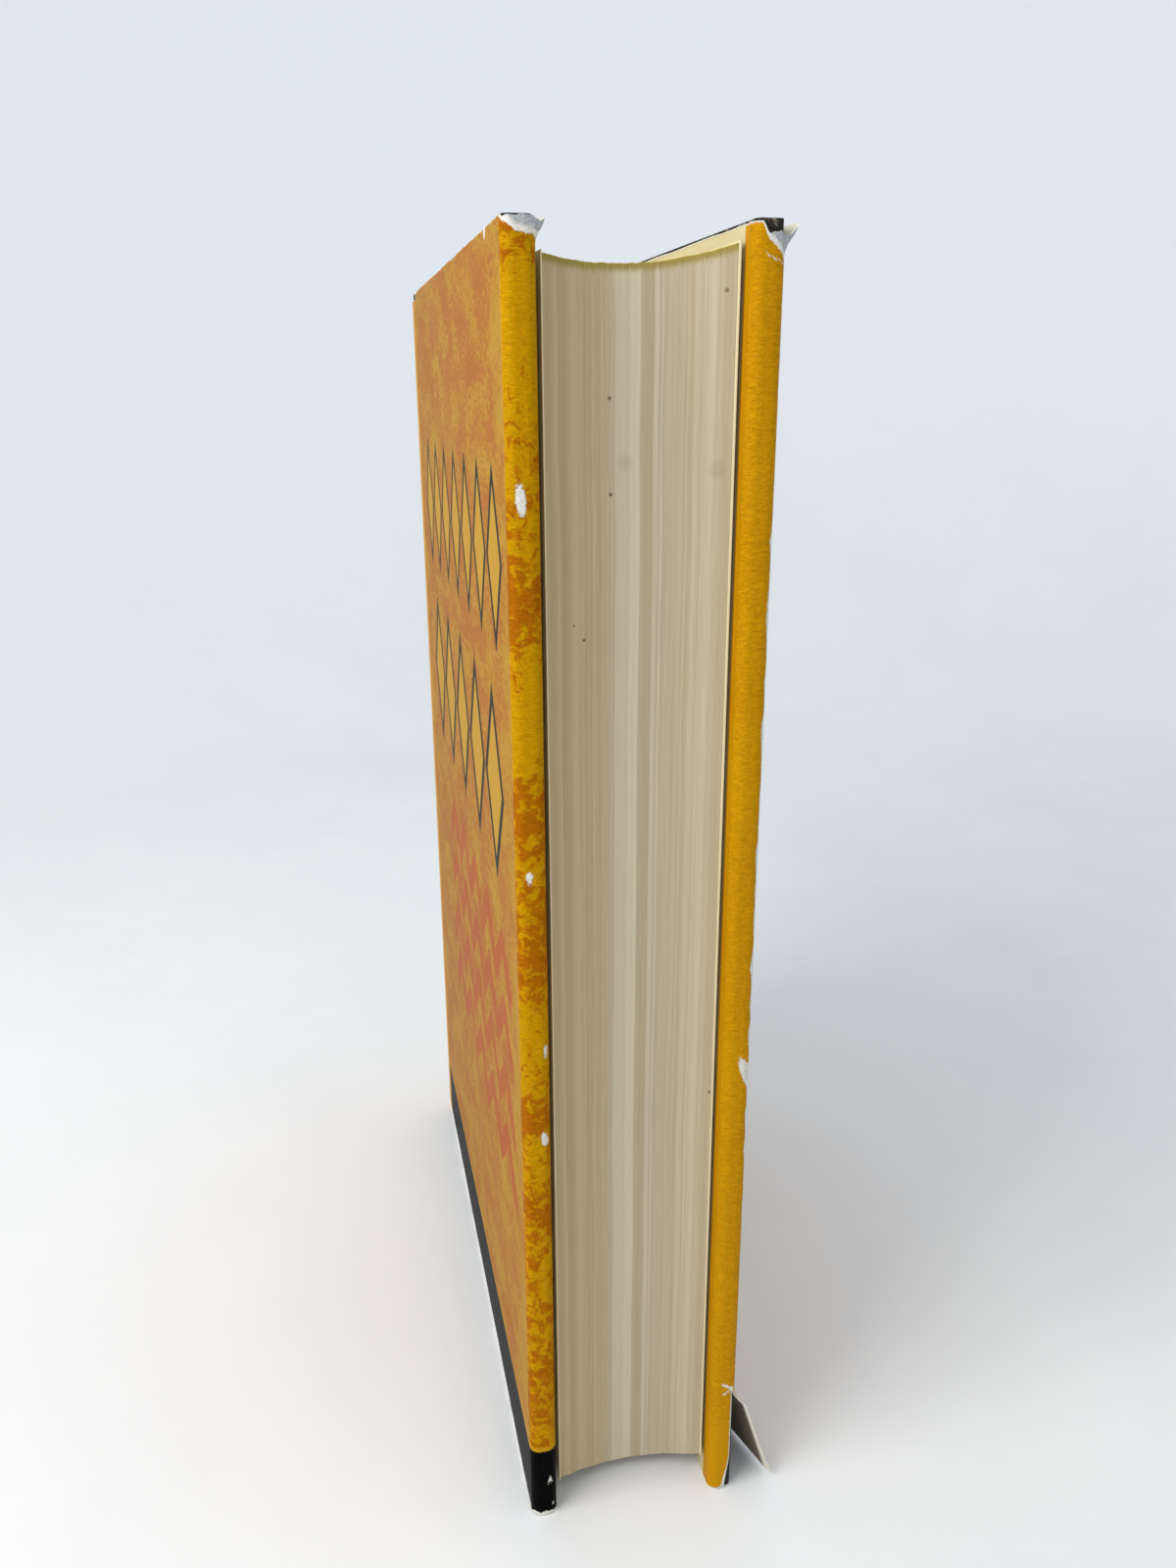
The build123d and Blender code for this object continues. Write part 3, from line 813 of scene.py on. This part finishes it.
def make_endpaper(name, side, finish):
    """An endpaper: its pasted half is sunk inside the cloth's turned-in edges."""
    leaf_x, paste_x = endpaper_planes(side)
    joint_radius = abs(paste_x - leaf_x) / 2
    lead = fold_line[side] - fold_line[-1]
    near = paste_low[1] + lead
    outline, ends = route(
        splayed([(paste_x, near)], side),
        splayed([(paste_x, hinge_y - pastedown_stop)], side),
        [(paste_x, hinge_y - joint_radius)],
        arc(((paste_x + leaf_x) / 2, hinge_y - joint_radius), joint_radius, 90, -90, side, step=12),
        [(leaf_x, leaf_low[1] + lead)],
    )
    paste_end, joint_start, joint_end, leaf_end = ends[1:]
    along = stations(0, (turn_in, 3), (turn_in + 2, 0.5), (paste_end - 8, 6), (joint_start, 1),
                     (joint_end, 0.06), (joint_end + 8, 1), (leaf_end, 6))
    up = stations(paste_low[2], (turn_in, 3), (turn_in + 2, 0.5), (cover_height - turn_in - 2, 6),
                  (cover_height - turn_in, 0.5), (paste_high[2], 3))
    sheet = cut_sheet(name, along, up)
    at = points(sheet)
    sunk_start = turn_in - pastedown_margin
    sunk_end = gauze_line[side] - near
    sunk_top = cover_height - turn_in
    sunk = smooth(sunk_start, sunk_start + sunk_step, at[:, 0])
    sunk *= smooth(sunk_end, sunk_end - sunk_step, at[:, 0])
    sunk *= smooth(turn_in, turn_in + sunk_step, at[:, 2])
    sunk *= smooth(sunk_top, sunk_top - sunk_step, at[:, 2])
    at[:, 1] += -side * sunk_depth * sunk

    # The free half is a little shorter than the pasted one, and leans with the pages
    free = smooth(joint_start, joint_end, at[:, 0])
    share = (at[:, 2] - paste_low[2]) / (paste_high[2] - paste_low[2])
    growth = leaf_high[2] - leaf_low[2] - paste_high[2] + paste_low[2]
    at[:, 2] += free * (leaf_low[2] - paste_low[2] + share * growth)
    at[:, 2] += side * page_lean * np.clip((at[:, 0] - joint_end) / (leaf_end - joint_end), 0, 1)
    place(sheet, at)
    finish_sheet(sheet, side, endpaper, outline, [finish])
    return sheet


def make_joint_cloth(name, side, finish):
    """The strip of cover cloth in the groove, which bends when the cover opens."""
    x = middle_x + side * (half_thickness - groove_depth)
    outline, ends = route([(x, hinge_y + groove_width / 2)], [(x, hinge_y - groove_width / 2)])
    sheet = cut_sheet(name, stations(0, (ends[1], 0.2)), stations(0, (cover_height, 12)))
    finish_sheet(sheet, side, cloth, outline, [finish])
    return sheet


# The pages

def uneven_ends(across, width, spread, size, leaf_size, seed):
    """How far the leaves' ends stand out of line: gatherings of a width together, and single leaves."""
    gatherings = np.clip(ragged(across, width, spread, seed), -1, 1)
    return size * gatherings + leaf_size * ragged(across, leaf_step, 1, seed + 1)


def make_pages(finish):
    """The sewn leaves: a hollow fore-edge, leaf ends that aren't quite level, shoulders and a round spine."""
    shoulder_y = pages_high[1] - shoulder_to_apex
    tip_half = (pages_high[0] - pages_low[0]) / 2
    columns = round(2 * text_half / leaf_bundle)
    rows = stations(0, (0.1, 0.02), (0.8, 0.12), (1, 0.2), (2, 0.25))
    bpy.ops.mesh.primitive_grid_add(x_subdivisions=columns, y_subdivisions=len(rows) - 1, size=1)
    block = bpy.context.object
    block.name = "pages"
    apply(block, "height", "SOLIDIFY", thickness=1, offset=1)

    # The new slab's x is through the leaves and its y from fore-edge to spine, both from -0.5 to 0.5
    at = points(block) * MM
    through = 2 * at[:, 0]
    across = through * text_half
    bulge = 1 - through ** 2
    row = np.interp(at[:, 1], np.linspace(-0.5, 0.5, len(rows)), rows)
    at_head = at[:, 2] > 0.5
    lead = fold_line[1] - fold_line[-1]
    fore_edge = pages_low[1] - lead * (1 - through) / 2 + hollow * bulge
    fore_edge += uneven_ends(across, 2.1, 0.5, 0.10, 0.04, 21)
    spine = pages_high[1] - (shoulder_to_apex - shoulder_depth) * through ** 2
    straight = fore_edge + (shoulder_y - fore_edge) * np.clip(row, 0, 1)
    y = np.where(row > 1, shoulder_y + (spine - shoulder_y) * (row - 1), straight)
    half = text_half + (tip_half - text_half) * np.clip(row - 1, 0, 1) ** 0.5
    to_fore_edge = np.clip((shoulder_y - y) / (shoulder_y - pages_low[1]), 0, 1)
    sag = (edge_sag + middle_sag * bulge - page_lean * through) * to_fore_edge
    uneven = uneven_ends(across, 1.7, 0.6, 0.06, 0.03, 23)
    head_z = leaf_high[2] - leaf_inset + uneven
    tail_z = leaf_low[2] + leaf_inset + uneven
    at = np.stack([middle_x + through * half, y, np.where(at_head, head_z, tail_z) - sag], 1)
    place(block, at)
    store(block, "flat", np.stack([across, at[:, 2], head_z - sag - at[:, 2]], 1))
    block.data.materials.append(finish)
    only(block)
    bpy.ops.object.shade_smooth_by_angle(angle=math.radians(50))
    return block


# The stage: a pale floor that sweeps up all round, soft light and the camera

def make_sweep():
    """Matt backdrop paper under a light tent: pale, even, and faintly scuffed on the floor."""
    made, tree = material("matt_backdrop_paper")
    where = node(tree, "TexCoord", out="Object")
    cloud = node(tree, "TexNoise", Vector=where, Scale=14.0, Detail=5.0, Roughness=0.6)
    base = node(tree, "MixRGB", cloud, colour("#E9EAEB"), colour("#F6F6F4"))
    height = node(tree, "SeparateXYZ", where, out="Z")
    base = node(tree, "MixRGB", node(tree, "MapRange", height, 0.0, 0.3, 0.0, 1.0), base, colour("#F0F3F6"))
    surface(tree, base, 0.5, cloud, 0.001, 0.15)
    floor_radius, sweep_radius, wall_height = 0.40, 0.25, 0.75
    bpy.ops.mesh.primitive_circle_add(vertices=128, radius=floor_radius, fill_type="NGON")
    floor = bpy.context.object
    floor.name = "floor"
    floor.data.materials.append(made)
    bpy.ops.object.mode_set(mode="EDIT")
    bpy.ops.mesh.select_mode(type="EDGE")
    bpy.ops.mesh.select_all(action="SELECT")
    steps = [(floor_radius + sweep_radius * math.sin(angle), sweep_radius * (1 - math.cos(angle)))
             for angle in np.radians(np.linspace(0, 90, 13))]
    steps.append((floor_radius + sweep_radius, wall_height))
    for (radius, height), (next_radius, next_height) in zip(steps, steps[1:]):
        bpy.ops.mesh.extrude_edges_move(TRANSFORM_OT_translate={"value": (0, 0, next_height - height)})
        bpy.ops.transform.resize(value=(next_radius / radius, next_radius / radius, 1))
    bpy.ops.object.mode_set(mode="OBJECT")
    bpy.ops.object.shade_smooth()


def make_light(name, spot, aim, size, power, tint):
    """A square soft light at one place, aimed at another."""
    data = bpy.data.lights.new(name, "AREA")
    data.shape = "SQUARE"
    data.size = size
    data.energy = power
    data.color = colour(tint)[:3]
    light = bpy.data.objects.new(name, data)
    light.location = spot
    light.rotation_euler = (Vector(aim) - Vector(spot)).to_track_quat("-Z", "Y").to_euler()
    bpy.context.scene.collection.objects.link(light)


def make_camera():
    """The camera at the photograph's place and angle."""
    data = bpy.data.cameras.new("camera")
    data.sensor_fit = "AUTO"
    data.sensor_width = sensor_size
    data.lens = lens_pixels / image_height * sensor_size
    data.clip_start = 0.01
    camera = bpy.data.objects.new("camera", data)
    camera.location = [value * MM for value in camera_place]
    camera.rotation_mode = "XYZ"
    camera.rotation_euler = (math.radians(90 - camera_pitch), 0, math.radians(-camera_heading))
    camera.rotation_euler.rotate_axis("Z", math.radians(-camera_roll))
    bpy.context.scene.collection.objects.link(camera)
    bpy.context.scene.camera = camera


def make_studio():
    """Daylight from the tent's open top, a soft box on the left and a plain tone curve."""
    world = bpy.data.worlds.new("studio")
    world.use_nodes = True
    world.node_tree.nodes["Background"].inputs["Color"].default_value = colour("#EAF1FA")
    world.node_tree.nodes["Background"].inputs["Strength"].default_value = 0.8
    bpy.context.scene.world = world
    make_light("left_box", spot=(-0.40, -0.21, 0.48), aim=(0, 0, 0.10), size=0.34, power=2.38, tint="#FFFDF8")
    bpy.context.scene.view_settings.view_transform = "Standard"


make_camera()
make_sweep()
make_studio()

front_paper = printed_paper("coated_paper_sponged", True)
back_paper = printed_paper("coated_paper_amber", False)
torn_paper = bare_paper("uncoated_paper_back")
cream_paper = end_paper("offset_endpaper")
book_cloth = woven("starched_book_cloth", "#15120E", "#3B342A", thread=0.45, height=0.12)

for side, cover, half_name in ((-1, "front_cover", "jacket_left"), (1, "back_cover", "jacket_right")):
    side_name = "front" if side < 0 else "back"
    half = make_jacket_half(half_name, side, [front_paper if side < 0 else back_paper, torn_paper])
    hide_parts(f"jacket_{side_name}", *(["jacket_spine"] if side < 0 else []))
    sleeve = make_joint_cloth(f"{side_name}_joint_cloth", side, book_cloth)
    for piece in (half, sleeve):
        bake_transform(piece)
    sheet = make_endpaper(f"{side_name}_endpaper", side, cream_paper)
    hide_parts(f"{side_name}_pastedown", f"{side_name}_flyleaf")
    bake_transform(sheet)

pages = make_pages(trimmed_pages("trimmed_book_paper"))
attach(pages, "block")
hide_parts("text_block")

node_finishes = {
    ("front_cover_cloth", "back_cover_cloth", "spine_cloth"): book_cloth,
    ("front_board", "back_board"): pulp("grey_millboard", "#6E655A", "#8F8577", size=0.8, roughness=0.85),
    ("mull", "front_mull_flange", "back_mull_flange"):
        woven("starched_gauze", "#A89C80", "#E4DAC0", thread=0.9, height=0.15),
    ("spine_lining",): pulp("kraft_paper", "#8A6A44", "#A88658", size=0.6, roughness=0.8),
    ("spine_inlay",): pulp("flexible_card", "#8C8270", "#A89D88", size=0.5, roughness=0.75),
    ("head_band", "tail_band"): band_cotton("sewn_band_cotton"),
}
for names, finish in node_finishes.items():
    for name in names:
        data = bpy.data.objects[name].data
        data.materials.clear()
        data.materials.append(finish)
